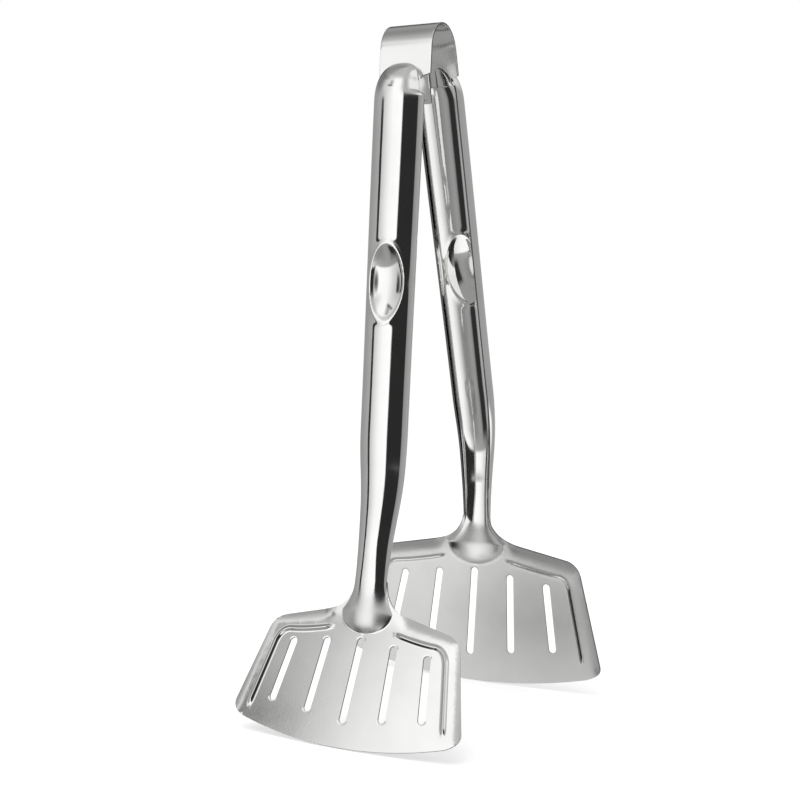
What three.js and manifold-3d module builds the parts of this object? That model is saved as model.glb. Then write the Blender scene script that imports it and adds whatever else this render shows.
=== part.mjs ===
import * as THREE from 'three';
import { mergeVertices } from 'three/addons/utils/BufferGeometryUtils.js';
import Module from 'manifold-3d';

// Spring tongs with two slotted fan blades, millimetres, +Z up.
// Two pressed sheet arms hang from one bowed spring strip and stand on their blade edges.
// Along an arm, s runs down from the level of the strip's crown, x runs across,
// and rise is the height above the plane of the open rim, positive on the arm's outer side.

const degree = Math.PI / 180;

// Sheet and strip stock.
const sheetThickness = 0.8;
const stripThickness = 0.8;
const stripWidth = 23.2;
const seatGap = 0.3;

// Set of the open tongs.
const handleSplay = 11.27 * degree;
const rimPlaneOffset = 10.65;

// Lengths along an arm, from the crown's level.
const headTop = 16.2;
const headLength = 16;
const kneeCentre = 184;
const rootCentre = 233.5;

// Bends of the arm's line: both arms turn the same way, so the closed blades lie at a slant.
const kneeBend = 12.85 * degree;
const rootBend = 11.65 * degree;
const kneeRadius = 80;
const rootRadius = 55;

// Trough of the handle: an arched back on low walls, whose rims turn a little inwards.
const handleHalfWidth = 10.3;
const handleWall = 3.8;
const handleArch = 5.6;
const rimTurn = 1;
const neckHalfWidth = 6.6;
const neckWall = 2.8;
const neckArch = 3.8;
const neckStart = 162;
const neckEnd = 220;

// Run of the neck into the blade: it sinks a little and opens out, and its nose ends on the flat.
const sinkStart = 205;
const sinkShare = 0.45;
const flareRun = 6.3;
const flareSharpness = 2.5;
const noseSoftness = 1.5;

// Thumb dish pressed into the back of the trough.
const dishHalfWidth = 7.9;
const dishHalfLength = 15.4;
const dishDepth = 4.4;
const dishRing = 0.5;
const dishRingShare = 0.1;

// Head crimped round the strip's end.
const stripInset = 0.3;
const crimpEnd = 31;
const crimpRun = 7;
const crimpDent = 0.35;
const lipSlit = 3.2;
const lipTop = 17.4;
const wallTop = 21.6;
const lipEnd = 28;
const tongueHalfWidth = 5.6;
const tongueEnd = 24.8;
const shoulderStart = 18.8;
const shoulderEnd = 20.8;

// Blades: the front one is the smaller. Distances down run from the root bend.
const frontBlade = {
  dishCentre: 103.8,
  noseHalfWidth: 10.8,
  noseWidest: -0.5,
  noseEnd: 8.2,
  shoulderHalfWidth: 34.3,
  shoulderDrop: 4.2,
  flareHalfWidth: 15.5,
  flareDrop: -0.5,
  cornerHalfWidth: 41.2,
  cornerDrop: 10.9,
  footHalfWidth: 47.9,
  footDrop: 39.9,
  footCorner: 6,
  length: 52.1,
  footRadius: 160,
  slotTop: 9.9,
  slotBottom: 43.1,
  slotPitchTop: 14.3,
  slotPitchBottom: 15.9,
  slotWidth: 3.1,
  beadInner: 13.4,
  beadDrop: 6.9,
  beadCorner: 35.8,
  beadCornerDrop: 10.6,
  beadFoot: 41.3,
  beadFootDrop: 41.9,
};
const rearBlade = {
  dishCentre: 106,
  noseHalfWidth: 14.2,
  noseWidest: 0,
  noseEnd: 10,
  shoulderHalfWidth: 44.6,
  shoulderDrop: 4,
  flareHalfWidth: 18,
  flareDrop: -1.3,
  cornerHalfWidth: 51.6,
  cornerDrop: 11.4,
  footHalfWidth: 62.8,
  footDrop: 49.2,
  footCorner: 7.4,
  length: 63.1,
  footRadius: 230,
  slotTop: 11.3,
  slotBottom: 51.5,
  slotPitchTop: 17.5,
  slotPitchBottom: 20.1,
  slotWidth: 3.5,
  beadInner: 15,
  beadDrop: 7,
  beadCorner: 45.2,
  beadCornerDrop: 12.6,
  beadFoot: 54.6,
  beadFootDrop: 49.8,
};
const beadHalfWidth = 1.3;
const beadRise = 0.9;

// The outer slots of the fan start lower and end higher, as shares of the blade's length.
const slotTopDropShare = [0, 0.03, 0.068];
const slotBottomLiftShare = [0, 0.045, 0.086];

// Cuts run this far past what they cut.
const overrun = 400;

const wasm = await Module();
wasm.setup();

// Closed geometry to solid and back.
function toSolid(geometry) {
  const bare = geometry.clone();
  bare.deleteAttribute('normal');
  bare.deleteAttribute('uv');
  const merged = mergeVertices(bare);
  return new wasm.Manifold(new wasm.Mesh({
    numProp: 3,
    vertProperties: new Float32Array(merged.attributes.position.array),
    triVerts: new Uint32Array(merged.index.array),
  }));
}

function toGeometry(solid) {
  const mesh = solid.getMesh();
  const geometry = new THREE.BufferGeometry();
  const places = new THREE.BufferAttribute(new Float32Array(mesh.vertProperties), mesh.numProp);
  geometry.setAttribute('position', places);
  geometry.setIndex(new THREE.BufferAttribute(new Uint32Array(mesh.triVerts), 1));
  geometry.computeVertexNormals();
  return geometry;
}

// Smooth step from 0 to 1 as value goes from start to end.
function ramp(value, start, end) {
  return THREE.MathUtils.smoothstep(value, start, end);
}

function mix(start, end, share) {
  return THREE.MathUtils.lerp(start, end, share);
}

// Evenly spaced values from start to end, the start left out.
function steps(start, end, count) {
  return Array.from({ length: count }, (_, index) => mix(start, end, (index + 1) / count));
}

// Closed shell: an open grid of points, thickened to its underside and walled along its free edges.
function thickened(grid, thickness, flip) {
  const top = new THREE.BufferGeometry();
  const rows = grid.length;
  const columns = grid[0].length;
  const index = [];
  for (let row = 0; row + 1 < rows; row += 1) {
    for (let column = 0; column + 1 < columns; column += 1) {
      const here = row * columns + column;
      const below = here + columns;
      index.push(here, below, here + 1, here + 1, below, below + 1);
    }
  }
  top.setAttribute('position', new THREE.Float32BufferAttribute(grid.flat(2), 3));
  top.setIndex(index);
  const merged = mergeVertices(top);
  const faces = solidFaces(merged.index.array, flip);
  merged.setIndex(faces);
  merged.computeVertexNormals();
  return shellFrom(merged, faces, thickness);
}

// Triangles that kept three separate corners, turned over where asked.
function solidFaces(index, flip) {
  const faces = [];
  for (let at = 0; at < index.length; at += 3) {
    const [a, b, c] = [index[at], index[at + 1], index[at + 2]];
    if (a !== b && b !== c && c !== a) faces.push(a, ...(flip ? [c, b] : [b, c]));
  }
  return faces;
}

function shellFrom(merged, faces, thickness) {
  const places = Array.from(merged.attributes.position.array);
  const normals = merged.attributes.normal.array;
  const count = places.length / 3;
  const under = places.map((value, at) => value - thickness * normals[at]);
  const closed = [...faces];
  const edges = new Map();
  for (let at = 0; at < faces.length; at += 3) {
    const corners = [faces[at], faces[at + 1], faces[at + 2]];
    closed.push(corners[2] + count, corners[1] + count, corners[0] + count);
    corners.forEach((from, turn) => edges.set(`${from} ${corners[(turn + 1) % 3]}`, true));
  }
  for (const key of edges.keys()) {
    const [from, to] = key.split(' ').map(Number);
    if (edges.has(`${to} ${from}`)) continue;
    closed.push(to, from, from + count, to, from + count, to + count);
  }
  const shell = new THREE.BufferGeometry();
  shell.setAttribute('position', new THREE.Float32BufferAttribute([...places, ...under], 3));
  shell.setIndex(closed);
  return shell;
}

// Line of an arm: straight legs joined by arcs, side is -1 for the front arm and 1 for the rear.
function armLine(side) {
  const kneeArc = kneeRadius * kneeBend;
  const rootArc = rootRadius * rootBend;
  return {
    side,
    start: side * handleSplay,
    legs: [
      { length: kneeCentre - kneeArc / 2, turn: 0 },
      { length: kneeArc, turn: -kneeBend },
      { length: rootCentre - kneeCentre - (kneeArc + rootArc) / 2, turn: 0 },
      { length: rootArc, turn: -rootBend },
      { length: Infinity, turn: 0 },
    ],
  };
}

// Place and heading of the line at s.
function along(line, s) {
  let left = s;
  let heading = line.start;
  let y = line.side * rimPlaneOffset;
  let z = 0;
  for (const leg of line.legs) {
    const run = Math.min(left, leg.length);
    const next = leg.turn === 0 ? heading : heading + leg.turn * run / leg.length;
    if (leg.turn === 0) {
      y += run * Math.sin(heading);
      z -= run * Math.cos(heading);
    } else {
      const radius = leg.length / leg.turn;
      y += radius * (Math.cos(heading) - Math.cos(next));
      z -= radius * (Math.sin(next) - Math.sin(heading));
    }
    heading = next;
    left -= run;
    if (left <= 0) break;
  }
  return { y, z, heading };
}

// Point of an arm from its own x, rise and s.
function armPoint(line, x, rise, s) {
  const at = along(line, s);
  const out = line.side * rise;
  return [x, at.y + out * Math.cos(at.heading), at.z + out * Math.sin(at.heading)];
}

// Frame of a flat stretch: shape X across, shape Y up along the arm from s, Z out of the arm.
function armFrame(line, s) {
  const at = along(line, s);
  const up = new THREE.Vector3(0, -Math.sin(at.heading), Math.cos(at.heading));
  const out = new THREE.Vector3(0, Math.cos(at.heading), Math.sin(at.heading)).multiplyScalar(line.side);
  const across = new THREE.Vector3().crossVectors(up, out);
  return new THREE.Matrix4().makeBasis(across, up, out).setPosition(0, at.y, at.z);
}

// Share of the handle's half width that the domed head has reached at s.
function headRound(s) {
  const reach = Math.min(1, (s - headTop) / headLength);
  return Math.sqrt(Math.max(0, 1 - (1 - reach) ** 2));
}

// Trough section at s: half width, wall height, arch height and how far its rims turn inwards.
function trough(blade, s) {
  const neck = ramp(s, neckStart, neckEnd);
  const round = headRound(s);
  const widest = rootCentre + blade.noseWidest;
  const flare = THREE.MathUtils.clamp((s - neckEnd) / (widest - neckEnd), 0, 1) ** flareSharpness;
  const closing = THREE.MathUtils.clamp((s - widest) / (blade.noseEnd - blade.noseWidest), 0, 1);
  const nose = Math.sqrt(1 - closing ** 2);
  const body = mix(handleHalfWidth, neckHalfWidth, neck);
  const height = round * nose ** noseSoftness * (1 - sinkShare * ramp(s, sinkStart, rootCentre));
  const wall = mix(handleWall, neckWall, neck) * height;
  const turn = rimTurn * ramp(s, crimpEnd, crimpEnd + crimpRun) * (1 - neck / 2);
  return {
    halfWidth: mix(body, blade.noseHalfWidth, flare) * round * nose,
    wall: wall * (1 - flare),
    arch: mix(handleArch, neckArch, neck) * height + wall * flare,
    turn: turn * (1 - flare),
    foot: mix(0.5, 1, ramp(s, neckEnd, rootCentre)),
  };
}

// Dish pressed in, with the ring that it throws up.
function dish(x, run) {
  const reach = Math.hypot(x / dishHalfWidth, run / dishHalfLength);
  const bowl = reach < 1 ? -(dishDepth + dishRing) * (1 - reach ** 2) ** 1.2 : 0;
  return bowl + dishRing * Math.exp(-(((reach - 1) / dishRingShare) ** 2));
}

// Distance from a point to a straight leg of a bead.
function legDistance(x, drop, from, to) {
  const leg = new THREE.Line3(new THREE.Vector3(...from, 0), new THREE.Vector3(...to, 0));
  const point = new THREE.Vector3(x, drop, 0);
  return leg.closestPointToPoint(point, true, new THREE.Vector3()).distanceTo(point);
}

// Bead pressed along the shoulder and down the side of a blade.
function bead(blade, x, drop) {
  const corner = [blade.beadCorner, blade.beadCornerDrop];
  const near = Math.min(
    legDistance(Math.abs(x), drop, [blade.beadInner, blade.beadDrop], corner),
    legDistance(Math.abs(x), drop, corner, [blade.beadFoot, blade.beadFootDrop]));
  return near < beadHalfWidth ? beadRise * Math.cos(near / beadHalfWidth * Math.PI / 2) ** 2 : 0;
}

// Columns across an arm: angles round the trough, then runs out over the blade.
const troughColumns = 14;
const troughAngles = Array.from({ length: troughColumns + 1 },
  (_, index) => (index / troughColumns - 0.5) * Math.PI);
const beadColumnShares = [-1, -0.5, 0, 0.5, 1];

// Rows down an arm, closest where its form turns fastest.
function armRows(blade) {
  const crownRows = steps(0, Math.PI / 2, 6).map((angle) => headTop + headLength * (1 - Math.cos(angle)));
  const bladeTop = rootCentre + blade.noseEnd;
  return [
    headTop,
    ...crownRows,
    ...steps(headTop + headLength, crimpEnd + crimpRun, 5),
    ...steps(crimpEnd + crimpRun, blade.dishCentre - dishHalfLength * 1.2, 3),
    ...steps(blade.dishCentre - dishHalfLength * 1.2, blade.dishCentre + dishHalfLength * 1.2, 16),
    ...steps(blade.dishCentre + dishHalfLength * 1.2, neckStart, 3),
    ...steps(neckStart, neckEnd, 8),
    ...steps(neckEnd, bladeTop, 11),
    ...steps(bladeTop, rootCentre + blade.beadCornerDrop + beadHalfWidth, 5),
    ...steps(rootCentre + blade.beadCornerDrop + beadHalfWidth, rootCentre + blade.beadFootDrop - beadHalfWidth, 3),
    ...steps(rootCentre + blade.beadFootDrop - beadHalfWidth, rootCentre + blade.beadFootDrop + beadHalfWidth, 3),
    rootCentre + blade.length + sheetThickness,
  ];
}

// Runs of the blade's columns beyond the trough, at a row's drop below the root.
function bladeColumns(blade, drop, inner) {
  const slant = (blade.beadFoot - blade.beadCorner) / (blade.beadFootDrop - blade.beadCornerDrop);
  const beadX = blade.beadCorner + (drop - blade.beadCornerDrop) * slant;
  const open = ramp(drop + rootCentre, neckEnd, rootCentre);
  const edge = beadX + blade.footHalfWidth - blade.beadFoot + sheetThickness;
  const places = [
    ...steps(inner, beadX - 2 * beadHalfWidth, 2),
    ...beadColumnShares.map((share) => beadX + share * beadHalfWidth),
    edge,
  ];
  return places.map((x) => mix(inner, x, open));
}

// Rise of the trough's back over x: wall, arch and dish, and the flat beyond the trough.
function backRise(section, x, run) {
  if (section.halfWidth === 0 || Math.abs(x) > section.halfWidth) return 0;
  const arch = Math.max(0, 1 - (x / section.halfWidth) ** 2) ** section.foot;
  return section.wall + section.arch * arch + dish(x, run);
}

// Dent of the head's flanks where they are crimped round the strip.
function crimp(s) {
  const reach = ramp(s, headTop + headLength / 2, headTop + headLength);
  return crimpDent * reach * (1 - ramp(s, crimpEnd, crimpEnd + crimpRun));
}

// One row of an arm's outer skin, from one edge to the other.
function armRow(line, blade, s) {
  const section = trough(blade, s);
  const drop = s - rootCentre;
  const guide = Math.max(section.halfWidth, drop > blade.noseWidest ? blade.noseHalfWidth : 0);
  const back = troughAngles.map((angle) => {
    const x = guide * Math.sin(angle);
    const press = crimp(s) * Math.abs(Math.sin(angle)) ** 4;
    return [x - Math.sign(x) * press, backRise(section, x, s - blade.dishCentre)];
  });
  const inner = back.at(-1)[0] - section.turn;
  const trough2d = [[-inner, 0], ...back, [inner, 0]];
  const wing = bladeColumns(blade, drop, inner).map((x) => [x, 0]);
  const left = [...wing].reverse().map(([x, rise]) => [-x, rise]);
  return [...left, ...trough2d, ...wing].map(([x, rise]) => {
    const lift = drop > 0 ? bead(blade, x, drop) : 0;
    return armPoint(line, x, rise + lift, s);
  });
}

// Plan of a blade with its neck, in the frame of the root bend: shape Y runs up.
function bladePlan(blade) {
  const half = (x, drop) => new THREE.Vector2(x, -drop);
  const foot = new THREE.Vector2(blade.footHalfWidth, -blade.footDrop);
  const side = new THREE.Vector2(blade.cornerHalfWidth, -blade.cornerDrop).sub(foot).normalize();
  const toe = blade.footHalfWidth - blade.footCorner;
  const footSag = blade.footRadius - Math.sqrt(blade.footRadius ** 2 - toe ** 2);
  const waist = neckHalfWidth + sheetThickness / 2;
  const flareEnd = half(blade.flareHalfWidth, blade.flareDrop);
  const slope = half(blade.shoulderHalfWidth, blade.shoulderDrop).sub(flareEnd).normalize();
  const flare = new THREE.CubicBezierCurve(
    half(waist, neckEnd - rootCentre),
    half(waist, neckEnd - rootCentre + flareRun),
    flareEnd.clone().sub(slope.multiplyScalar(flareRun)),
    flareEnd);
  const corner = new THREE.QuadraticBezierCurve(
    half(blade.shoulderHalfWidth, blade.shoulderDrop),
    half(blade.cornerHalfWidth - side.x * -sheetThickness, blade.shoulderDrop + sheetThickness),
    half(blade.cornerHalfWidth, blade.cornerDrop));
  const bottom = new THREE.CubicBezierCurve(
    half(blade.footHalfWidth, blade.footDrop),
    half(blade.footHalfWidth - side.x * blade.footCorner * 0.6, blade.footDrop + side.y * blade.footCorner * 0.6),
    half(toe + blade.footCorner * 0.45, blade.length - footSag - toe / blade.footRadius * blade.footCorner * 0.45),
    half(toe, blade.length - footSag));
  const edge = [
    new THREE.Vector2(blade.footHalfWidth, overrun),
    new THREE.Vector2(blade.footHalfWidth, rootCentre - neckEnd),
    ...flare.getPoints(9),
    ...corner.getPoints(7),
    ...bottom.getPoints(7),
    ...steps(toe, 0, 7).map((x) => half(
      x, blade.length - blade.footRadius + Math.sqrt(blade.footRadius ** 2 - x ** 2))),
  ];
  const mirror = edge.slice(0, -1).reverse().map((point) => new THREE.Vector2(-point.x, point.y));
  return new THREE.Shape([...edge, ...mirror]);
}

// Solid of a plan, from one rise to another, in an arm's frame.
function planSolid(shape, frame, low, high) {
  const prism = new THREE.ExtrudeGeometry(shape, { depth: high - low, bevelEnabled: false, curveSegments: 8 });
  prism.translate(0, 0, low);
  prism.applyMatrix4(frame);
  return toSolid(prism);
}

// Round-ended slot between two points.
function slotShape(from, to, width) {
  const way = to.clone().sub(from).normalize();
  const inset = way.clone().multiplyScalar(width / 2);
  const start = from.clone().add(inset);
  const end = to.clone().sub(inset);
  const angle = way.angle();
  const shape = new THREE.Shape();
  shape.absarc(start.x, start.y, width / 2, angle + Math.PI / 2, angle - Math.PI / 2, false);
  shape.absarc(end.x, end.y, width / 2, angle - Math.PI / 2, angle + Math.PI / 2, false);
  return shape;
}

// Five slots of a blade, fanned out from the middle one.
function bladeSlots(blade, frame) {
  return [-2, -1, 0, 1, 2].map((place) => {
    const order = Math.abs(place);
    const top = blade.slotTop + slotTopDropShare[order] * blade.length;
    const bottom = blade.slotBottom - slotBottomLiftShare[order] * blade.length;
    const from = new THREE.Vector2(place * blade.slotPitchTop, -top);
    const to = new THREE.Vector2(place * blade.slotPitchBottom, -bottom);
    return planSolid(slotShape(from, to, blade.slotWidth), frame, -overrun, overrun);
  });
}

// Half width of the head's outer skin at s.
function headHalf(s) {
  return handleHalfWidth * headRound(s) - crimp(s);
}

// Flank of the head from one s to another, as a plan between two depths in from its skin.
function flankShape(turn, top, bottom, inward) {
  const outer = [top, ...steps(top, bottom, 6)].map((s) => new THREE.Vector2(turn * headHalf(s), -s));
  const inner = outer.map((point) => new THREE.Vector2(inward(point.x), point.y));
  return new THREE.Shape([...outer, ...inner.reverse()]);
}

// Lips of the head: two half domes folded over the strip, each on a wall of the trough.
function headLips(line) {
  const frame = armFrame(line, 0);
  const face = -(stripInset + stripThickness + seatGap);
  return [-1, 1].flatMap((turn) => {
    const lip = flankShape(turn, lipTop, lipEnd, () => turn * lipSlit / 2);
    const wall = flankShape(turn, wallTop, lipEnd, (x) => x - turn * sheetThickness);
    return [
      planSolid(lip, frame, face - sheetThickness, face),
      planSolid(wall, frame, face - sheetThickness, sheetThickness / 2),
    ];
  });
}

// One arm: head, trough, dish, neck and blade from a single sheet.
function arm(side, blade) {
  const line = armLine(side);
  const grid = armRows(blade).map((s) => armRow(line, blade, s));
  const shell = toSolid(thickened(grid, sheetThickness, side > 0));
  const frame = bladeFrame(line);
  const plan = planSolid(bladePlan(blade), frame, -overrun, overrun);
  let solid = shell.intersect(plan);
  for (const slot of bladeSlots(blade, frame)) solid = solid.subtract(slot);
  for (const lip of headLips(line)) solid = solid.add(lip);
  return toGeometry(solid);
}

// Frame of the flat blade, with its zero where the line would reach the root's middle.
function bladeFrame(line) {
  const past = rootRadius * rootBend;
  const back = new THREE.Matrix4().makeTranslation(0, past, 0);
  return armFrame(line, rootCentre + past).multiply(back);
}

// Spring strip: a bow over the crown, its legs running down into both heads.
function springStrip() {
  const legs = [-1, 1].map((side) => armLine(side));
  const reach = rimPlaneOffset * Math.cos(handleSplay) - stripInset;
  const bowRadius = reach / (1 - Math.sin(handleSplay));
  const bowEnd = Math.PI / 2 - handleSplay;
  const legStart = (bowRadius * Math.sin(bowEnd) - rimPlaneOffset) * Math.sin(handleSplay)
    + bowRadius * (1 - Math.cos(bowEnd)) * Math.cos(handleSplay);
  const legRows = [
    ...steps(legStart, shoulderStart, 2),
    ...steps(shoulderStart, shoulderEnd, 4),
    ...steps(shoulderEnd, tongueEnd, 2),
  ];
  const across = steps(-1, 1, 4);
  const row = (half, place) => [-1, ...across].map((share) => place(half * share));
  const legRow = (line) => (s) => row(stripHalf(s), (x) => armPoint(line, x, -stripInset, s));
  const bow = [-bowEnd, ...steps(-bowEnd, bowEnd, 20)].map((angle) => row(stripWidth / 2,
    (x) => [x, bowRadius * Math.sin(angle), -bowRadius * (1 - Math.cos(angle))]));
  const grid = [...legRows.map(legRow(legs[0])).reverse(), ...bow, ...legRows.map(legRow(legs[1]))];
  return toGeometry(toSolid(thickened(grid, stripThickness, true)));
}

// Half width of the strip down a leg: full, then drawn in to the tongue inside the head.
function stripHalf(s) {
  return mix(stripWidth / 2, tongueHalfWidth, ramp(s, shoulderStart, shoulderEnd));
}

// Lowest point of an arm's blade edge, as y and z.
function bladeFoot(side, blade) {
  const line = armLine(side);
  const skins = [0, -sheetThickness].map((rise) => armPoint(line, 0, rise, rootCentre + blade.length));
  const [, y, z] = skins[0][2] < skins[1][2] ? skins[0] : skins[1];
  return { y, z };
}

// Polished stainless steel, a little duller on the thin strip.
function steelPiece(name, geometry, colour, roughness) {
  const material = new THREE.MeshStandardMaterial({ color: colour, metalness: 1, roughness });
  const mesh = new THREE.Mesh(geometry, material);
  mesh.name = name;
  return mesh;
}

// The tongs lean until both blades' edges touch the ground, centred over their box.
const tongs = new THREE.Group();
tongs.add(
  steelPiece('front_arm', arm(-1, frontBlade), 0xc9c9c7, 0.12),
  steelPiece('rear_arm', arm(1, rearBlade), 0xc9c9c7, 0.12),
  steelPiece('spring_strip', springStrip(), 0xb9b8b5, 0.3),
);
const frontFoot = bladeFoot(-1, frontBlade);
const rearFoot = bladeFoot(1, rearBlade);
tongs.rotation.x = Math.atan2(frontFoot.z - rearFoot.z, rearFoot.y - frontFoot.y);
const box = new THREE.Box3().setFromObject(tongs, true);
tongs.position.set(0, -(box.min.y + box.max.y) / 2, -box.min.z);

export default tongs;
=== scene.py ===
import math

import bmesh
import bpy
import numpy as np
from mathutils import Matrix, Vector
from mathutils.geometry import delaunay_2d_cdt


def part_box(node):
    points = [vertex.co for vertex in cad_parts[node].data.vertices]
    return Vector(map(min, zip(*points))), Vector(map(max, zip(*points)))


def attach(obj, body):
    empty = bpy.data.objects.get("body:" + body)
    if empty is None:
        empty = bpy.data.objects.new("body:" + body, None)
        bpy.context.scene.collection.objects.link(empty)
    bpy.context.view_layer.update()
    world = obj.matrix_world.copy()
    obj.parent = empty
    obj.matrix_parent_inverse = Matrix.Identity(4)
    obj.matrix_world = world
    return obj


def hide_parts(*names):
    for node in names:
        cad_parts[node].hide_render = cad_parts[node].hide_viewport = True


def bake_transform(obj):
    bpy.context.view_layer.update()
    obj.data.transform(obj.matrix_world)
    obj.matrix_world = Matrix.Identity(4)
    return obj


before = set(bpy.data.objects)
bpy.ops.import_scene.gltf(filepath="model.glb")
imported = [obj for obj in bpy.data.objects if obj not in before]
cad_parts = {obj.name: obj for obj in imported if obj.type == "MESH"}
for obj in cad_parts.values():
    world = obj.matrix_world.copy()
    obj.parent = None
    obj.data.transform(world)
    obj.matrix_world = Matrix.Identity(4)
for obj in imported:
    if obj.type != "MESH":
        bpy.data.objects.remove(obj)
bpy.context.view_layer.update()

# Camera.
# It stands half a metre from the open tongs, at half their height and to the right,
# so that the front arm shows its back and the rear arm its hollow side.
camera_place = Vector((0.22136, -0.4892, 0.14117))
camera_azimuth = math.radians(25.436)
camera_elevation = math.radians(1.238)
camera_roll = math.radians(2.132)
camera = bpy.data.objects.new("camera", bpy.data.cameras.new("camera"))
camera.data.sensor_width = 36
camera.data.lens = 57.617
camera.data.clip_start = 0.01
forward = Vector((
    -math.sin(camera_azimuth) * math.cos(camera_elevation),
    math.cos(camera_azimuth) * math.cos(camera_elevation),
    -math.sin(camera_elevation)))
level = Vector((math.cos(camera_azimuth), math.sin(camera_azimuth), 0))
rolled = level * math.cos(camera_roll) + level.cross(forward) * math.sin(camera_roll)
upright = rolled.cross(forward)
camera_turn = Matrix((rolled, upright, -forward)).transposed().to_4x4()
camera.matrix_world = Matrix.Translation(camera_place) @ camera_turn
bpy.context.scene.collection.objects.link(camera)
bpy.context.scene.camera = camera
bpy.context.scene.view_settings.view_transform = "Standard"


# Table top.
# A broad white board that the blades' edges stand on. It takes their soft shadow
# and runs out of sight on every side.
class Socket:
    """A node's outlet with arithmetic: an expression on outlets adds its Math nodes."""

    def __init__(self, tree, output):
        self.tree = tree
        self.output = output

    def node(self, kind, settings=None, outlet=0, **inputs):
        made = self.tree.nodes.new(kind)
        for name, value in (settings or {}).items():
            if name == "stops":
                self.set_stops(made.color_ramp, value)
            else:
                setattr(made, name, value)
        for name, value in inputs.items():
            key = int(name[1:]) if name[1:].isdigit() else name.replace("_", " ")
            if isinstance(value, Socket):
                self.tree.links.new(value.output, made.inputs[key])
            else:
                made.inputs[key].default_value = value
        return Socket(self.tree, made.outputs[outlet])

    @staticmethod
    def set_stops(ramp, stops):
        while len(ramp.elements) < len(stops):
            ramp.elements.new(1)
        for element, (place, shade) in zip(ramp.elements, stops):
            element.position = place
            element.color = (shade, shade, shade, 1)

    def outlet(self, name):
        return Socket(self.tree, self.output.node.outputs[name])

    def maths(self, operation, *values):
        inputs = {f"i{at}": value for at, value in enumerate(values)}
        return self.node("ShaderNodeMath", {"operation": operation}, **inputs)

    def __add__(self, other):
        return self.maths("ADD", self, other)

    def __radd__(self, other):
        return self.maths("ADD", other, self)

    def __sub__(self, other):
        return self.maths("SUBTRACT", self, other)

    def __rsub__(self, other):
        return self.maths("SUBTRACT", other, self)

    def __mul__(self, other):
        return self.maths("MULTIPLY", self, other)

    def __rmul__(self, other):
        return self.maths("MULTIPLY", other, self)

    def __truediv__(self, other):
        return self.maths("DIVIDE", self, other)

    def __rtruediv__(self, other):
        return self.maths("DIVIDE", other, self)

    def smooth(self, low, high):
        return self.node("ShaderNodeMapRange", {"interpolation_type": "SMOOTHSTEP"},
                         Value=self, From_Min=low, From_Max=high)

    def blended(self, first, second):
        """Colour between two, with this outlet as the share of the second."""
        return self.node("ShaderNodeMix", {"data_type": "RGBA"}, outlet=2, i0=self, i6=first, i7=second)


board_reach = 4
board_corners = [
    (x * board_reach, y * board_reach, 0) for x, y in ((-1, -1), (1, -1), (1, 1), (-1, 1))]
board = bpy.data.objects.new("table_top", bpy.data.meshes.new("table_top"))
board.data.from_pydata(board_corners, [], [(0, 1, 2, 3)])
bpy.context.scene.collection.objects.link(board)
board_finish = bpy.data.materials.new("table_top")
board_finish.use_nodes = True
board_tree = board_finish.node_tree
board_shader = board_tree.nodes["Principled BSDF"]
board_shader.inputs["Roughness"].default_value = 0.9
board_shader.inputs["Specular IOR Level"].default_value = 0
board_shader.inputs["Base Color"].default_value = (0.8, 0.8, 0.8, 1)
board_shader.inputs["Emission Strength"].default_value = 0.36
board_paths = Socket(board_tree, board_tree.nodes.new("ShaderNodeLightPath").outputs["Is Camera Ray"])
board_glow = board_paths.blended((0, 0, 0, 1), (1, 1, 1, 1))
board_tree.links.new(board_glow.output, board_shader.inputs["Emission Color"])
board.data.materials.append(board_finish)
board.visible_glossy = False

# Studio.
# A white room for the eye. The polished steel mirrors rings of grey, one above the other, from
# the far table to the ceiling: a broad white screen in front, a black one to its right and a
# dark slit to its left.
studio = bpy.data.worlds.new("studio")
bpy.context.scene.world = studio
studio.use_nodes = True
studio_tree = studio.node_tree
studio_tree.nodes.clear()
way = Socket(studio_tree, studio_tree.nodes.new("ShaderNodeTexCoord").outputs["Generated"])
way_x = way.node("ShaderNodeSeparateXYZ", i0=way)
way_y = way_x.outlet("Y")
way_z = way_x.outlet("Z")
# Turn from the front, positive to the right, as a share of a whole turn, 0.5 straight ahead.
turn = way_x.maths("ARCTAN2", way_x, way_y * -1) / math.tau + 0.5


def at_turn(degrees):
    return degrees / 360 + 0.5


def from_turn(start, end):
    """Share that goes from 0 at one turn to 1 at the next, both in degrees."""
    return turn.smooth(at_turn(start), at_turn(end))


def grey(shade):
    return (shade, shade, shade, 1)


def ring(*stops):
    """Brightness all round at one level, from pairs of a turn in degrees and a brightness."""
    places = [(at_turn(degrees), shade) for degrees, shade in stops]
    return turn.node("ShaderNodeValToRGB", {"stops": places}, Fac=turn)


floor_shade = grey(0.34)
table = ring(
    (-180, 0.45), (-62, 0.45), (-57, 0.4), (-55, 0.03), (-38, 0.03), (-33, 0.3), (-25, 0.36),
    (-10, 0.28), (0, 0.27), (12, 0.4), (25, 0.75), (45, 1.05), (180, 1.05))
skirting = ring(
    (-180, 0.5), (-72, 0.42), (-62, 0.2), (-56, 0.14), (-50, 0.25), (-38, 0.36), (-20, 0.4),
    (-4, 0.45), (10, 0.7), (24, 1.1), (180, 1.1))
walls = ring(
    (-180, 0.36), (-90, 0.36), (-62, 0.44), (-53, 0.5), (-48.5, 0.66), (-42, 0.78), (-33, 0.96),
    (-23, 1.12), (0, 1.18), (2.5, 0.025), (76, 0.025), (84, 0.3), (110, 0.36), (180, 0.42))
slit = from_turn(-58, -57) * (1 - from_turn(-50.5, -49)) * (1 - way_z.smooth(0.22, 0.27))
walls = slit.blended(walls, grey(0.03))
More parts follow.
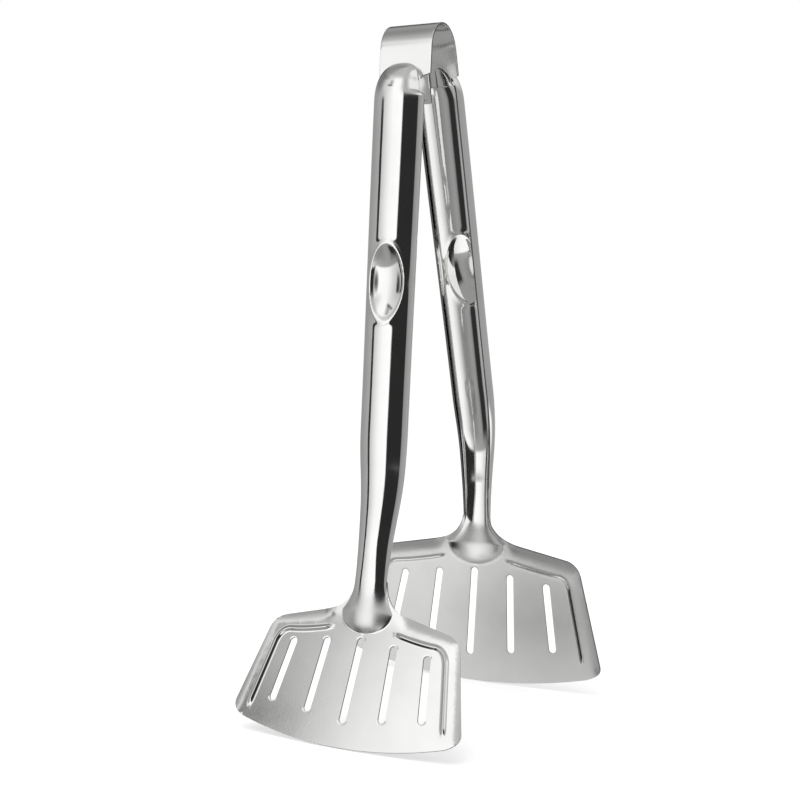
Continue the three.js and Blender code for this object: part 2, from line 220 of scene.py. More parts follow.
slope = ring(
    (-180, 0.06), (-125, 0.06), (-105, 0.24), (-80, 0.2), (-68, 0.34), (-55, 0.68), (-42, 0.8),
    (-31, 0.98), (-27, 1.12), (-12, 1.1), (0, 0.62), (25, 0.42), (50, 0.55), (85, 0.95),
    (125, 0.9), (180, 0.4))
# A dark low corner and a narrow flag, which grade the front blade from left to right.
corner = from_turn(-50, -44) * (1 - from_turn(-35.5, -31))
corner = corner * way_z.smooth(0.445, 0.472) * (1 - way_z.smooth(0.478, 0.505))
slope = (corner * 0.85).blended(slope, grey(0.08))
flag = ring(
    (-180, 0), (-42, 0), (-39, 0.58), (-35, 0.5), (-32, 0.26), (-29.5, 0.06), (-28, 0), (180, 0))
flag = flag.node("ShaderNodeSeparateXYZ", i0=flag)
flag = flag * way_z.smooth(0.44, 0.475) * (1 - way_z.smooth(0.57, 0.62))
slope = flag.blended(slope, grey(0.02))
ceiling = ring((-180, 0.45), (-93, 0.27), (-62, 0.32), (-45, 0.5), (0, 0.55), (180, 0.45))
cornice = way_z.smooth(0.58, 0.61) * (1 - way_z.smooth(0.66, 0.7)) * (1 - from_turn(-62, -45))
room = way_z.smooth(-0.78, -0.66).blended(floor_shade, table)
room = way_z.smooth(-0.4, -0.23).blended(room, skirting)
room = way_z.smooth(-0.225, -0.19).blended(room, walls)
room = way_z.smooth(0.24, 0.46).blended(room, slope)
room = way_z.smooth(0.6, 0.8).blended(room, ceiling)
room = (cornice * 0.45).blended(room, grey(0.16))
world_paths = Socket(studio_tree, studio_tree.nodes.new("ShaderNodeLightPath").outputs["Is Camera Ray"])
shown = world_paths.outlet("Is Glossy Ray").blended(grey(0.8), room)
shown = world_paths.blended(shown, grey(1))
background = shown.node("ShaderNodeBackground", Color=shown, Strength=1.0)
world_end = studio_tree.nodes.new("ShaderNodeOutputWorld")
studio_tree.links.new(background.output, world_end.inputs["Surface"])

# Lamp over the set.
# A round soft box above and in front, for the soft shadows under the blades;
# the steel doesn't mirror it.
lamp = bpy.data.objects.new("overhead_lamp", bpy.data.lights.new("overhead_lamp", "AREA"))
lamp.data.shape = "DISK"
lamp.data.size = 1.5
lamp.data.energy = 9
lamp.location = (-0.2, -0.5, 1.6)
lamp.rotation_euler = (Vector((0, 0, 0.1)) - lamp.location).to_track_quat("-Z", "Y").to_euler()
lamp.visible_glossy = False
bpy.context.scene.collection.objects.link(lamp)

# Front arm.
# One pressing of 0.8 mm stainless sheet, polished all over: a head folded round the spring
# strip, a trough with a thumb dish, a bent neck and the smaller slotted fan. Lengths in mm;
# s runs down the arm from the crown's level, x across it, and rise is the height over the
# plane of the trough's rim, on the arm's outer side.
SHEET = 0.8
SPLAY = math.radians(11.27)
RIM_OFFSET = 10.65
HEAD_TOP = 16.2
HEAD_LENGTH = 16
DOME_FULLNESS = 2.3
KNEE_AT = 184.0
ROOT_AT = 233.5
KNEE_BEND = math.radians(12.85)
ROOT_BEND = math.radians(11.65)
KNEE_RADIUS = 80
ROOT_RADIUS = 55
HANDLE_HALF = 10.3
HANDLE_WALL = 4.2
HANDLE_ARCH = 5.3
HANDLE_TAPER = 0.6
NECK_HALF = 6.6
NECK_WALL = 1.8
NECK_ARCH = 4.0
RIM_TURN = 1.0
NECK_OPENING = 0.7
CLOSED_END = 34
NECK_START = 162
NECK_END = 220
SINK_START = 205
SINK_SHARE = 0.45
FLARE_RUN = 6.3
FLARE_SHARPNESS = 2.5
NOSE_SOFTNESS = 1.5
STRIP_INSET = 0.3
STRIP_THICK = 0.8
SEAT_GAP = 0.3
DISH_DEPTH = 2.65
DISH_RING = 0.34
DISH_RING_SHARE = 0.09
BITE = 1.7
BITE_TOP = 17.6
BITE_RAMP = 6
BITE_END = 29.6
BITE_STEP = 0.9
BITE_IN = 0.8
BITE_DOWN = 0.5
BITE_FROM = math.radians(24)
BITE_FULL = math.radians(66)
LIP_TOP = 16.9
LIP_WALL_TOP = 22.7
LONG_LIP_END = 31
SHORT_LIP_END = 24.4
LIP_SLIT = 1.6
BEAD_HALF = 1.3
BEAD_RISE = 0.86
BEAD_MARGIN = 1.4
BEAD_BEND = 4.5
BEAD_SAG = 0.9
BEAD_RUN_OUT = 3.2
BORDER_ROLL = 0.034
BORDER_FADE = 6
EDGE_ROUND = 0.14
SEED_GAP = 0.9
SLOT_MARGIN = 0.8
WELD = 0.02
WALL_COLUMNS = 6
BACK_COLUMNS = 49
HEAD_ROWS = 36
NOSE_ROWS = 20
ROW_STEP = 1.2
HEAD_ZONE = 38
DISH_ZONE = 20

FRONT = dict(
    side=-1, length=52.1, foot_radius=160, toe=6,
    flare=(15.5, -0.5), shoulder=(34.3, 4.2), corner=(41.2, 10.9), foot=(47.9, 39.9),
    nose_half=10.8, nose_widest=-0.5, nose_end=8.2,
    dish_at=103.8, dish_x=0.25, dish_half=(7.6, 15.4),
    slot_top=9.9, slot_bottom=43.1, pitch_top=14.3, pitch_bottom=15.9, slot_width=3.1,
    bead=((13.4, 6.9), (35.8, 10.6), (41.3, 41.9)))
REAR = dict(
    side=1, length=63.1, foot_radius=230, toe=7.4,
    flare=(18, -1.3), shoulder=(44.6, 4), corner=(51.6, 11.4), foot=(62.78, 49.2),
    nose_half=14.2, nose_widest=0, nose_end=10,
    dish_at=106, dish_x=0.3, dish_half=(8.3, 16),
    slot_top=11.3, slot_bottom=51.5, pitch_top=17.5, pitch_bottom=20.1, slot_width=3.5,
    bead=((15, 7), (45.2, 12.6), (54.6, 49.8)))


def smooth(value, start, end):
    share = np.clip((np.asarray(value, float) - start) / (end - start), 0, 1)
    return share * share * (3 - 2 * share)


def mix(first, second, share):
    return first + (second - first) * share


def arm_line(side, s):
    """Place (y, z) and heading of an arm's line at each s, before the tongs lean."""
    knee_arc = KNEE_RADIUS * KNEE_BEND
    root_arc = ROOT_RADIUS * ROOT_BEND
    legs = (
        (KNEE_AT - knee_arc / 2, 0),
        (knee_arc, -KNEE_BEND),
        (ROOT_AT - KNEE_AT - (knee_arc + root_arc) / 2, 0),
        (root_arc, -ROOT_BEND),
        (1e4, 0))
    left = np.asarray(s, float).copy()
    heading = np.full(left.shape, side * SPLAY)
    y = np.full(left.shape, side * RIM_OFFSET)
    z = np.zeros(left.shape)
    for length, bend in legs:
        run = np.clip(left, 0, length)
        if bend == 0:
            y += run * np.sin(heading)
            z -= run * np.cos(heading)
        else:
            radius = length / bend
            after = heading + bend * run / length
            y += radius * (np.cos(heading) - np.cos(after))
            z -= radius * (np.sin(after) - np.sin(heading))
            heading = after
        left = left - run
    return y, z, heading


def arm_points(side, x, rise, s):
    """Points of an arm from x, rise and s, before the tongs lean."""
    x, rise, s = np.broadcast_arrays(np.asarray(x, float), np.asarray(rise, float), np.asarray(s, float))
    y, z, heading = arm_line(side, s)
    return np.stack([x, y + side * rise * np.cos(heading), z + side * rise * np.sin(heading)], axis=-1)


def blade_foot(blade):
    lows = arm_points(blade["side"], 0, np.array([0, -SHEET]), ROOT_AT + blade["length"])
    return lows[np.argmin(lows[:, 2])]


# The open tongs lean until both blade edges touch the table.
front_foot = blade_foot(FRONT)
rear_foot = blade_foot(REAR)
lean = math.atan2(front_foot[2] - rear_foot[2], rear_foot[1] - front_foot[1])
lean_turn = np.array(Matrix.Rotation(lean, 3, "X"))
crown_height = -(front_foot @ lean_turn.T)[2]
crown_place = np.array([0, 0, crown_height])


def in_metres(points):
    """Points of the upright pattern, in mm, set into the leaning tongs' frame, in metres."""
    return (points @ lean_turn.T + crown_place) / 1000


# The front blade's foot is the tongs' furthest reach to the front, here and in the solids.
front_edge = arm_points(FRONT["side"], 0, np.array([0, -SHEET]), ROOT_AT + FRONT["length"])
crown_place[1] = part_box("front_arm")[0].y * 1000 - (front_edge @ lean_turn.T)[:, 1].min()


def trough_section(blade, s):
    """Half width, wall, arch height, foot softness and the rim's turn inwards, of the trough at s."""
    neck = smooth(s, NECK_START, NECK_END)
    head = np.clip((s - HEAD_TOP) / HEAD_LENGTH, 0, 1)
    dome = (1 - (1 - head) ** DOME_FULLNESS) ** (1 / DOME_FULLNESS)
    widest = ROOT_AT + blade["nose_widest"]
    flare = np.clip((s - NECK_END) / (widest - NECK_END), 0, 1) ** FLARE_SHARPNESS
    closing = np.clip((s - widest) / (ROOT_AT + blade["nose_end"] - widest), 0, 1)
    nose = math.sqrt(1 - closing ** 2)
    height = dome * nose ** NOSE_SOFTNESS * (1 - SINK_SHARE * smooth(s, SINK_START, ROOT_AT))
    handle = HANDLE_HALF - HANDLE_TAPER * smooth(s, CLOSED_END, NECK_START)
    half = mix(mix(handle, NECK_HALF, neck), blade["nose_half"], flare) * dome * nose
    wall = mix(HANDLE_WALL, NECK_WALL, neck) * height
    arch = mix(HANDLE_ARCH, NECK_ARCH, neck) * height + wall * flare
    foot = mix(0.5, 1.0, smooth(s, NECK_END, ROOT_AT))
    turn_in = RIM_TURN * (1 - NECK_OPENING * neck) * (1 - flare) * smooth(s, HEAD_TOP, CLOSED_END)
    return half, wall * (1 - flare), arch, foot, turn_in


def dish_rise(blade, x, s):
    """Thumb dish pressed into the back, with the low ring that it throws up."""
    width, length = blade["dish_half"]
    reach = np.hypot((x - blade["dish_x"]) / width, (s - blade["dish_at"]) / length)
    bowl = -(DISH_DEPTH + DISH_RING) * np.clip(1 - reach ** 2, 0, None) ** 1.2
    return bowl + DISH_RING * np.exp(-(((reach - 1) / DISH_RING_SHARE) ** 2))


def trough_row(blade, s):
    """One row of the trough's outer skin: x and rise, up one wall, over the back, down the other."""
    half, wall, arch, foot, turn_in = trough_section(blade, s)
    past_widest = s > ROOT_AT + blade["nose_widest"]
    guide = max(half, blade["nose_half"]) if past_widest else half
    angles = np.linspace(-math.pi / 2, math.pi / 2, BACK_COLUMNS)
    x = guide * np.sin(angles)
    rise = wall + arch * np.clip(1 - (x / max(half, 1e-9)) ** 2, 0, 1) ** foot
    rise = rise + dish_rise(blade, x, s)
    up = np.arange(WALL_COLUMNS) / WALL_COLUMNS
    # The head's pinch, on the side of the long lip, over the wall and the shoulder. It deepens
    # down the head and ends in a step.
    pinch = smooth(s, BITE_TOP, BITE_TOP + BITE_RAMP) * (1 - smooth(s, BITE_END - BITE_STEP, BITE_END))
    pinch = BITE * pinch * smooth(-blade["side"] * angles, BITE_FROM, BITE_FULL)
    x = x + blade["side"] * pinch * BITE_IN
    rise = rise - pinch * BITE_DOWN
    tuck = turn_in * (1 - np.sin(up * math.pi / 2))
    left = -guide + tuck + (x[0] + guide) * up
    right = guide - tuck + (x[-1] - guide) * up
    rise = np.concatenate([up * rise[0], rise, (up * rise[-1])[::-1]])
    return np.concatenate([left, x, right[::-1]]), rise


def trough_rows(blade):
    """Values of s down the trough, closest at the head, the dish and the nose."""
    head = HEAD_TOP + HEAD_LENGTH * (1 - np.cos(np.linspace(0, math.pi / 2, HEAD_ROWS)))
    dish = blade["dish_at"]
    nose = np.sin(np.linspace(0, math.pi / 2, NOSE_ROWS))
    return np.unique(np.round(np.concatenate([
        head,
        [LIP_TOP, LIP_WALL_TOP, SHORT_LIP_END, LONG_LIP_END],
        np.arange(head[-1], HEAD_ZONE, 0.5),
        np.arange(HEAD_ZONE, dish - DISH_ZONE, ROW_STEP),
        np.arange(dish - DISH_ZONE, dish + DISH_ZONE, 0.8),
        np.arange(dish + DISH_ZONE, NECK_START, ROW_STEP),
        np.arange(NECK_START, NECK_END - 1, 1.4),
        np.linspace(NECK_END, ROOT_AT + blade["nose_widest"], NOSE_ROWS),
        ROOT_AT + mix(blade["nose_widest"], blade["nose_end"], nose)]), 4))


def lip_grids(blade, rows, rims):
    """The two lips folded over the strip's end: the long one and the short one."""
    side = blade["side"]
    low = -(STRIP_INSET + STRIP_THICK + SEAT_GAP + SHEET)
    grids = []
    for turned, end in ((-side, LONG_LIP_END), (side, SHORT_LIP_END)):
        use = (rows >= LIP_TOP) & (rows <= end)
        s = rows[use][:, None]
        rim = np.abs(rims[use])[:, None]
        edge = np.maximum(rim - SHEET, LIP_SLIT)
        plate = mix(edge, LIP_SLIT, np.linspace(0, 1, 9)[None, :])
        grids.append((turned * plate, np.full(plate.shape, low), s))
        use = (rows >= LIP_WALL_TOP) & (rows <= end)
        s = rows[use][:, None]
        rim = np.abs(rims[use])[:, None]
        bend = np.linspace(0, math.pi / 2, 6)[None, :]
        x = rim - SHEET * (1 - np.cos(bend))
        rise = low + SHEET * (1 - np.sin(bend))
        down = np.linspace(0, 1, 3)[None, :-1]
        x = np.concatenate([np.broadcast_to(rim, (len(rim), 2)), x], axis=1)
        rise = np.concatenate([np.broadcast_to((low + SHEET) * down, (len(rim), 2)),
                               np.broadcast_to(rise, (len(rim), 6))], axis=1)
        grids.append((turned * x, rise, s))
    return grids


def bezier(points, count):
    """Points on a Bezier curve of any degree."""
    share = np.linspace(0, 1, count)[:, None]
    level = [np.broadcast_to(np.asarray(p, float), (count, 2)) for p in points]
    while len(level) > 1:
        level = [mix(a, b, share) for a, b in zip(level, level[1:])]
    return level[0]


def blade_outline(blade):
    """Right half of the fan's edge from the neck round to the middle of the foot: x and drop."""
    flare, shoulder, corner, foot = (
        np.array(blade[name], float) for name in ("flare", "shoulder", "corner", "foot"))
    side = (foot - corner) / np.linalg.norm(foot - corner)
    slope = (shoulder - flare) / np.linalg.norm(shoulder - flare)
    toe_x = foot[0] - blade["toe"]
    radius = blade["foot_radius"]
    toe = np.array([toe_x, blade["length"] - radius + math.sqrt(radius ** 2 - toe_x ** 2)])
    toe_way = np.array([1, -toe_x / radius])
    arc_x = np.linspace(toe_x, 0, 30)
    arc = np.stack([arc_x, blade["length"] - radius + np.sqrt(radius ** 2 - arc_x ** 2)], axis=-1)
    start = np.array([NECK_HALF - RIM_TURN * (1 - NECK_OPENING), NECK_END - ROOT_AT])
    return np.concatenate([
        bezier([start, start + [0.8, FLARE_RUN], flare - slope * FLARE_RUN, flare], 18),
        bezier([flare, shoulder], 12)[1:],
        bezier([shoulder, shoulder + slope * 3, corner - side * 4, corner], 12)[1:],
        bezier([corner, foot], 14)[1:],
        bezier([foot, foot + side * blade["toe"] * 0.55, toe + toe_way * blade["toe"] * 0.5, toe], 12)[1:],
        arc[1:]])


SLOTS = 5


def slot_tree():
    """Node tree for the outlines of a fan's five slots, spread from the middle one."""
    tree = bpy.data.node_groups.new("fan_slots", "GeometryNodeTree")
    for name in ("Top", "Bottom", "Pitch Top", "Pitch Bottom", "Width", "Length"):
        tree.interface.new_socket(name, in_out="INPUT", socket_type="NodeSocketFloat")
    tree.interface.new_socket("Geometry", in_out="OUTPUT", socket_type="NodeSocketGeometry")
    given = Socket(tree, tree.nodes.new("NodeGroupInput").outputs["Top"])
    corners = 24
    loop = given.node("GeometryNodeMeshCircle", Vertices=corners)
    spots = given.node("GeometryNodeMeshLine", Count=SLOTS, Offset=(0, 0, 0))
    loops = given.node("GeometryNodeInstanceOnPoints", Points=spots, Instance=loop)
    outlines = given.node("GeometryNodeRealizeInstances", Geometry=loops)
    index = given.node("GeometryNodeInputIndex")
    place = index.maths("FLOOR", index / corners) - SLOTS // 2
    order = place.maths("ABSOLUTE", place)
    angle = (index.maths("FLOORED_MODULO", index, corners) + 0.5) * (math.tau / corners)
    upper = angle.maths("LESS_THAN", angle, math.pi)
    # The outer slots start lower and end higher, by shares of the fan's length.
    top = given + given.outlet("Length") * order * (0.026 + order * 0.004)
    bottom = given.outlet("Bottom") - given.outlet("Length") * order * (0.047 - order * 0.002)
    half = given.outlet("Width") * 0.5
    over = place * (given.outlet("Pitch Bottom") - given.outlet("Pitch Top"))
    down = bottom - top
    length = over.maths("SQRT", over * over + down * down)
    over = over / length
    down = down / length
    centre_x = place * given.outlet("Pitch Bottom") - over * half
    centre_y = bottom - down * half
    centre_x = centre_x + upper * (place * given.outlet("Pitch Top") + over * half - centre_x)
    centre_y = centre_y + upper * (top + down * half - centre_y)
    wide = angle.maths("COSINE", angle) * half
    high = angle.maths("SINE", angle) * half
    spot = given.node("ShaderNodeCombineXYZ", X=centre_x + down * wide - over * high,
                      Y=centre_y - over * wide - down * high)
    moved = given.node("GeometryNodeSetPosition", Geometry=outlines, Position=spot)
    end = tree.nodes.new("NodeGroupOutput")
    tree.links.new(moved.output, end.inputs["Geometry"])
    return tree


def slot_loops(blade, tree):
    """Closed outlines of a fan's slots, from the node tree."""
    pattern = bpy.data.objects.new("slot_pattern", bpy.data.meshes.new("slot_pattern"))
    bpy.context.scene.collection.objects.link(pattern)
    nodes = pattern.modifiers.new("slots", "NODES")
    nodes.node_group = tree
    values = {"Top": blade["slot_top"], "Bottom": blade["slot_bottom"], "Pitch Top": blade["pitch_top"],
              "Pitch Bottom": blade["pitch_bottom"], "Width": blade["slot_width"], "Length": blade["length"]}
    for item in tree.interface.items_tree:
        if item.name in values:
            nodes[item.identifier] = float(values[item.name])
    bpy.context.view_layer.update()
    cut = bpy.data.meshes.new_from_object(pattern.evaluated_get(bpy.context.evaluated_depsgraph_get()))
    places = np.zeros(len(cut.vertices) * 3)
    cut.vertices.foreach_get("co", places)
    bpy.data.objects.remove(pattern)
    bpy.data.meshes.remove(cut)
    return list(places.reshape(SLOTS, -1, 3)[:, :, :2])


def bead_strips(blade):
    """The two L-shaped beads as strips of points, x and drop, with their rise."""
    inner, corner, foot = (np.array(p, float) for p in blade["bead"])
    down = (foot - corner) / np.linalg.norm(foot - corner)
    over = (corner - inner) / np.linalg.norm(corner - inner)
    sag = np.array([-over[1], over[0]]) * BEAD_SAG
    path = np.concatenate([
        bezier([inner, (inner + corner) / 2 + sag, corner - over * BEAD_BEND], 30),
        bezier([corner - over * BEAD_BEND, corner - over * 0.6, corner + down * BEAD_BEND], 14)[1:],
        bezier([corner + down * BEAD_BEND, foot], 34)[1:]])
    length = np.concatenate([[0], np.cumsum(np.linalg.norm(np.diff(path, axis=0), axis=1))])
    way = np.gradient(path, length, axis=0)
    way /= np.linalg.norm(way, axis=1)[:, None]
    aside = np.stack([way[:, 1], -way[:, 0]], axis=-1)
    height = BEAD_RISE * smooth(length, 0, BEAD_RUN_OUT) * smooth(length[-1] - length, 0, BEAD_RUN_OUT)
    shares = np.concatenate([[-BEAD_MARGIN], np.linspace(-1, 1, 13), [BEAD_MARGIN]])
    grid = path[:, None, :] + aside[:, None, :] * shares[None, :, None] * BEAD_HALF
    rise = height[:, None] * np.cos(np.clip(shares, -1, 1) * math.pi / 2)[None, :] ** 2
    return [(grid * [turned, 1], rise) for turned in (1, -1)]


def border_reach(blade, x, drop):
    """How far places on the fan lie outside the line of its beads."""
    inner, corner, foot = (np.array(p, float) for p in blade["bead"])
    down = (foot - corner) / np.linalg.norm(foot - corner)
    over = (corner - inner) / np.linalg.norm(corner - inner)
    aside = (np.abs(x) - corner[0]) * down[1] - (drop - corner[1]) * down[0]
    above = (np.abs(x) - inner[0]) * over[1] - (drop - inner[1]) * over[0]
    return np.maximum(aside, above)


def border_rise(blade, x, drop):
    """The fan's border outside the beads is rolled a little towards the food."""
    inner, _, foot = blade["bead"]
    beyond = np.maximum(border_reach(blade, x, drop) - BEAD_HALF * BEAD_MARGIN, 0)
    share = smooth(np.abs(x), inner[0], inner[0] + BORDER_FADE)
    share = share * (1 - smooth(drop, foot[1], foot[1] + BORDER_FADE))
    return -BORDER_ROLL * beyond ** 2 * share


def inside(points, loop):
    """Which points lie inside a closed loop."""
    x, y = points[:, 0], points[:, 1]
    hit = np.zeros(len(points), bool)
    for (x0, y0), (x1, y1) in zip(loop, np.roll(loop, -1, axis=0)):
        if y0 != y1:
            hit ^= ((y0 > y) != (y1 > y)) & (x < (x1 - x0) * (y - y0) / (y1 - y0) + x0)
    return hit


def grid_faces(rows, columns):
    at = np.arange(rows * columns).reshape(rows, columns)
    return np.stack([at[:-1, :-1], at[1:, :-1], at[1:, 1:], at[:-1, 1:]], axis=-1).reshape(-1, 4).tolist()


def around(loop, width):
    """Points in a ring around a closed loop."""
    way = np.roll(loop, -1, axis=0) - np.roll(loop, 1, axis=0)
    way /= np.linalg.norm(way, axis=1)[:, None]
    x, y = loop.T
    turned = np.sign(np.sum(x * np.roll(y, -1) - np.roll(x, -1) * y))
    return loop + np.stack([way[:, 1], -way[:, 0]], axis=-1) * width * turned


def flat_patch(blade, edge, slots, beads):
    """Triangles over the flat of the fan, inside its edge and outside its holes: places and faces."""
    holes = slots + beads
    loops = [edge, *holes]
    places = np.concatenate(loops)
    links = []
    start = 0
    for loop in loops:
        links += [(start + at, start + (at + 1) % len(loop)) for at in range(len(loop))]
        start += len(loop)
    # Points over the flat, closer together on the border, and a ring of them round each slot.
    columns, drops = np.arange(-70, 70, 1.0), np.arange(-14, 70, 1.0)
    spread = np.stack(np.meshgrid(columns, drops), axis=-1).reshape(-1, 2)
    even = np.all(spread % 2 == 0, axis=1)
    spread = spread[even | (border_reach(blade, *spread.T) > 0)]
    near = np.array([np.min(np.hypot(*(places - p).T)) for p in spread])
    spread = np.concatenate([spread[near > SEED_GAP], *(around(slot, SLOT_MARGIN) for slot in slots)])
    keep = inside(spread, edge)
    for hole in holes:
        keep &= ~inside(spread, hole)
    seeds = [Vector(p) for p in np.concatenate([places, spread[keep]])]
    places, _, faces, _, _, _ = delaunay_2d_cdt(seeds, links, [], 0, 1e-5)
    places = np.array([tuple(p) for p in places])
    faces = np.array([face for face in faces if len(face) == 3])
    centres = places[faces].mean(axis=1)
    keep = inside(centres, edge)
    for hole in holes:
        keep &= ~inside(centres, hole)
    return places, faces[keep].tolist()


def arm_patches(blade, tree):
    """Outer skin of an arm as patches of points and faces that share their borders."""
    side = blade["side"]
    rows = trough_rows(blade)
    sections = [trough_row(blade, s) for s in rows]
    x = np.array([section[0] for section in sections])
    rise = np.array([section[1] for section in sections])
    level = (1 - smooth(rise, 0, 0.8)) * smooth(rows, NECK_END - 8, NECK_END)[:, None]
    grids = [(x, rise, rows[:, None], level)]
    grids += [(gx, gr, gs, np.zeros(gx.shape)) for gx, gr, gs in lip_grids(blade, rows, x[:, -1])]
    strips = bead_strips(blade)
    grids += [(grid[..., 0], lift, grid[..., 1] + ROOT_AT, 1 - smooth(lift, 0, 0.3)) for grid, lift in strips]
    patches = [
        (arm_points(side, gx, gr, gs).reshape(-1, 3), grid_faces(*gx.shape), level.ravel())
        for gx, gr, gs, level in grids]
    slots = slot_loops(blade, tree)
    beads = []
    for grid, _ in strips:
        beads.append(np.concatenate([grid[:, 0], grid[-1, 1:], grid[-2::-1, -1], grid[0, -2:0:-1]]))
    low = rows >= NECK_END
    drops = rows[low] - ROOT_AT
    right = np.stack([x[low][:, -1], drops], axis=-1)
    left = right * [-1, 1]
    base_x = x[-1][WALL_COLUMNS:-WALL_COLUMNS]
    base = np.stack([base_x, np.full(len(base_x), drops[-1])], axis=-1)
    outline = blade_outline(blade)
    outline[0] = right[0]
    mirrored = outline[:-1][::-1] * [-1, 1]
    edge = np.concatenate([outline, mirrored, left[1:], base[1:-1], right[1:][::-1]])
    places, faces = flat_patch(blade, edge, slots, beads)
    x, drop = places.T
    level = np.ones(len(x))
    patches.append((arm_points(side, x, border_rise(blade, x, drop), drop + ROOT_AT), faces, level))
    return patches


def sheet_metal(name, patches, thickness, edge_round, outwards):
    """Sheet from its outer skin: an even wall inwards, its cut edges rounded, shaded smooth."""
    skin = bmesh.new()
    layer = skin.verts.layers.float.new("level")
    for points, faces, level in patches:
        corners = [skin.verts.new(point) for point in points]
        for corner, value in zip(corners, level):
            corner[layer] = value
        for face in faces:
            skin.faces.new([corners[at] for at in face])
    bmesh.ops.remove_doubles(skin, verts=skin.verts, dist=WELD)
    bmesh.ops.recalc_face_normals(skin, faces=skin.faces)
    skin.verts.index_update()
    skin.normal_update()
    points = np.array([vert.co for vert in skin.verts], float)
    normals = np.array([vert.normal for vert in skin.verts], float)
    level = np.array([vert[layer] for vert in skin.verts], float)
    faces = [[vert.index for vert in face.verts] for face in skin.faces]
    skin.free()
    nearest = int(np.argmin(np.linalg.norm(points - outwards[0], axis=1)))
    if normals[nearest] @ outwards[1] < 0:
        faces = [face[::-1] for face in faces]
        normals = -normals
    count = len(points)
    under = points - normals * thickness
    directed = {(face[at], face[(at + 1) % len(face)]) for face in faces for at in range(len(face))}
    free = [(a, b) for a, b in directed if (b, a) not in directed]
    closed = faces + [[at + count for at in face[::-1]] for face in faces]
    closed += [[b, a, a + count, b + count] for a, b in free]
    mesh = bpy.data.meshes.new(name)
    mesh.from_pydata(in_metres(np.concatenate([points, under])).tolist(), [], closed)
    mesh.validate()
    level_values = mesh.attributes.new("level", "FLOAT", "POINT")
    level_values.data.foreach_set("value", np.concatenate([level, level]))
    cut = np.arange(len(mesh.polygons)) >= 2 * len(faces)
    mesh.attributes.new("cut", "FLOAT", "FACE").data.foreach_set("value", cut.astype(float))
    rims = {tuple(sorted(pair)) for a, b in free for pair in ((a, b), (a + count, b + count))}
    weight = mesh.attributes.new("bevel_weight_edge", "FLOAT", "EDGE")
    weight.data.foreach_set("value", [float(tuple(sorted(edge.vertices)) in rims) for edge in mesh.edges])
    mesh.polygons.foreach_set("use_smooth", [True] * len(mesh.polygons))
    made = bpy.data.objects.new(name, mesh)
    bpy.context.scene.collection.objects.link(made)
    edge = made.modifiers.new("edge", "BEVEL")
    edge.width = edge_round / 1000
    edge.segments = 2
    edge.limit_method = "WEIGHT"
    fair = made.modifiers.new("fair", "WEIGHTED_NORMAL")
    fair.keep_sharp = False
    bpy.context.view_layer.update()
    final = bpy.data.meshes.new_from_object(made.evaluated_get(bpy.context.evaluated_depsgraph_get()))
    made.modifiers.clear()
    made.data = final
    final.name = name
    final.materials.clear()
    return made


def polished_steel(name, roughness, level_roughness, nose_place=(0, 0, 0)):
    """Polished stainless: faint lengthwise polishing lines, soft smears, a duller level stretch, and rougher
    cut edges whose dark colour is painted shade.
    """
    finish = bpy.data.materials.new(name)
    finish.use_nodes = True
    tree = finish.node_tree
    shader = tree.nodes["Principled BSDF"]
    shader.inputs["Metallic"].default_value = 1
    place = Socket(tree, tree.nodes.new("ShaderNodeTexCoord").outputs["Object"])
    stretched = place.node("ShaderNodeMapping", i0=place, Scale=(1800, 1800, 60))
    lines = place.node("ShaderNodeTexNoise", Vector=stretched, Scale=1.0, Detail=3.0, Roughness=0.6)
    smears = place.node("ShaderNodeTexNoise", Vector=place, Scale=60.0, Detail=2.0, Roughness=0.5)
    level = place.node("ShaderNodeAttribute", {"attribute_name": "level"}, outlet=2)
    cut = place.node("ShaderNodeAttribute", {"attribute_name": "cut"}, outlet=2)
    reach = place.node("ShaderNodeVectorMath", {"operation": "DISTANCE"}, outlet=1, i0=place, i1=nose_place)
    nose = 1 - reach.smooth(0.007, 0.015)
    rough = roughness + level * (level_roughness - roughness) + (smears - 0.5) * 0.05 + (lines - 0.5) * 0.05
    rough = rough + cut * 0.25 + nose * (1 - level) * 0.24
    tree.links.new(rough.output, shader.inputs["Roughness"])
    tint = smears.smooth(0.3, 0.7).blended((0.83, 0.83, 0.82, 1), (0.88, 0.88, 0.87, 1))
    # Painted shade: the cut edges take a dark base colour of 0.2, which draws dark outlines round the slots
    # and rims.
    tint = cut.blended(tint, (0.2, 0.2, 0.2, 1))
    tree.links.new(tint.output, shader.inputs["Base Color"])
    bump = place.node("ShaderNodeBump", Strength=0.02, Distance=0.0002, Height=lines)
    tree.links.new(bump.output, shader.inputs["Normal"])
    return finish


def nose_middle(blade):
    """Middle of the nose where the trough runs out into the fan."""
    return in_metres(arm_points(blade["side"], 0, 1.0, ROOT_AT + 3.0)).tolist()


def arm_pressing(name, blade, tree):
    """An arm's finished mesh from its blade's sizes."""
    _, _, heading = arm_line(blade["side"], 150.0)
    back = arm_points(blade["side"], 0, HANDLE_ARCH + HANDLE_WALL, 150.0)
    out = np.array([0, math.cos(heading), math.sin(heading)]) * blade["side"]
    return sheet_metal(name, arm_patches(blade, tree), SHEET, EDGE_ROUND, (back, out))


fan_slots = slot_tree()
front_steel = polished_steel("front_sheet_steel", 0.06, 0.1, nose_middle(FRONT))
front_arm = arm_pressing("front_arm_pressing", FRONT, fan_slots)
front_arm.data.materials.append(front_steel)
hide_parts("front_arm")
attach(front_arm, "front")

# Rear arm.
# The same pressing with the larger fan. It faces the camera with its hollow side.
rear_arm = arm_pressing("rear_arm_pressing", REAR, fan_slots)
rear_steel = polished_steel("rear_sheet_steel", 0.06, 0.38, nose_middle(REAR))
rear_arm.data.materials.append(rear_steel)
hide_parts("rear_arm")
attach(rear_arm, "rear")

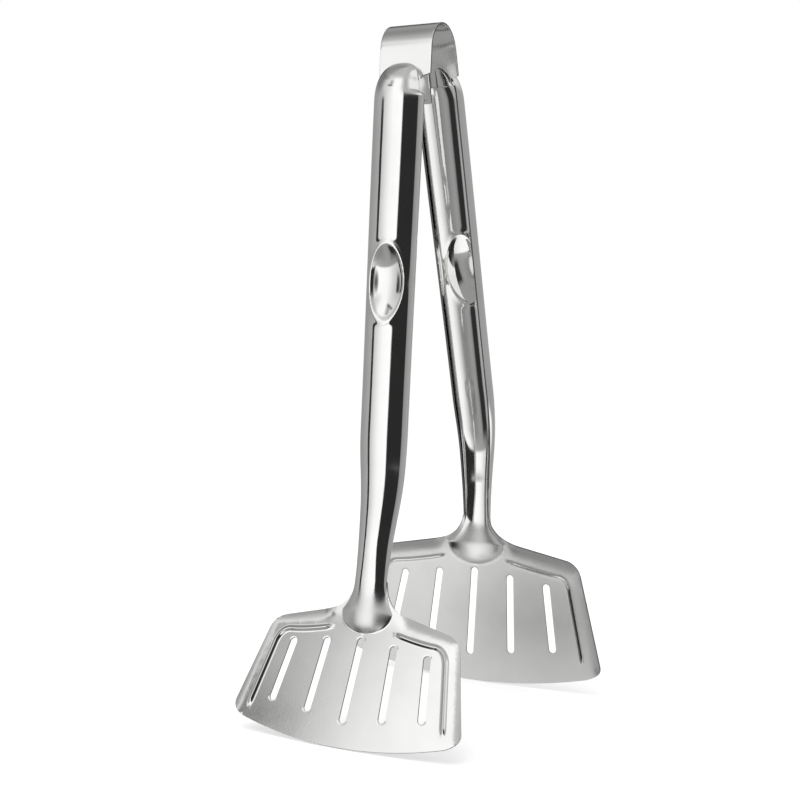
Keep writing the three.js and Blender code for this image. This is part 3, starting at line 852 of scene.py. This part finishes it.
# Spring strip.
# One bowed band of thin spring steel with a satin face. Its ends narrow to tongues that
# slide into the two heads, and it bends when the arms are squeezed.
STRIP_HALF = 11.3
TONGUE_HALF = 5.6
SHOULDER_START = 20.4
SHOULDER_END = 22.2
TONGUE_END = 24.8
BOW_SINK = 0.03
STRIP_EDGE_ROUND = 0.16


def bow_shape():
    """Radius, end angle and leg start of the strip's bow, which touches both legs."""
    reach = RIM_OFFSET * math.cos(SPLAY) - STRIP_INSET
    radius = reach / (1 - math.sin(SPLAY))
    end = math.pi / 2 - SPLAY
    leg_start = ((radius * math.sin(end) - RIM_OFFSET) * math.sin(SPLAY)
                 + radius * (1 - math.cos(end)) * math.cos(SPLAY))
    return radius, end, leg_start


bow_radius, bow_end, leg_start = bow_shape()


def strip_patch():
    """Outer skin of the strip, from the front tongue over the bow to the rear tongue."""
    legs = np.unique(np.round(np.concatenate([
        np.linspace(leg_start, SHOULDER_START, 10),
        np.linspace(SHOULDER_START, SHOULDER_END, 12),
        np.linspace(SHOULDER_END, TONGUE_END, 5)]), 4))
    half = mix(STRIP_HALF, TONGUE_HALF, smooth(legs, SHOULDER_START, SHOULDER_END))
    across = np.linspace(-1, 1, 25)
    sides = [arm_points(side, half[:, None] * across, -STRIP_INSET, legs[:, None]) for side in (-1, 1)]
    angles = np.linspace(-bow_end, bow_end, 65)[1:-1, None]
    bow_y = bow_radius * np.sin(angles)
    bow_z = (bow_radius - BOW_SINK) * (np.cos(angles) - 1) - BOW_SINK
    bow = np.stack(np.broadcast_arrays(STRIP_HALF * across[None, :], bow_y, bow_z), axis=-1)
    points = np.concatenate([sides[0][::-1], bow, sides[1]])
    rows, columns = points.shape[:2]
    return points.reshape(-1, 3), grid_faces(rows, columns), np.zeros(rows * columns)


crown_and_up = (np.array([0, 0, 0]), np.array([0, 0, 1]))
spring = sheet_metal("spring_band", [strip_patch()], STRIP_THICK, STRIP_EDGE_ROUND, crown_and_up)
satin_strip = polished_steel("satin_spring_steel", 0.18, 0.18)
spring.data.materials.append(satin_strip)
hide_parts("spring_strip")
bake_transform(spring)
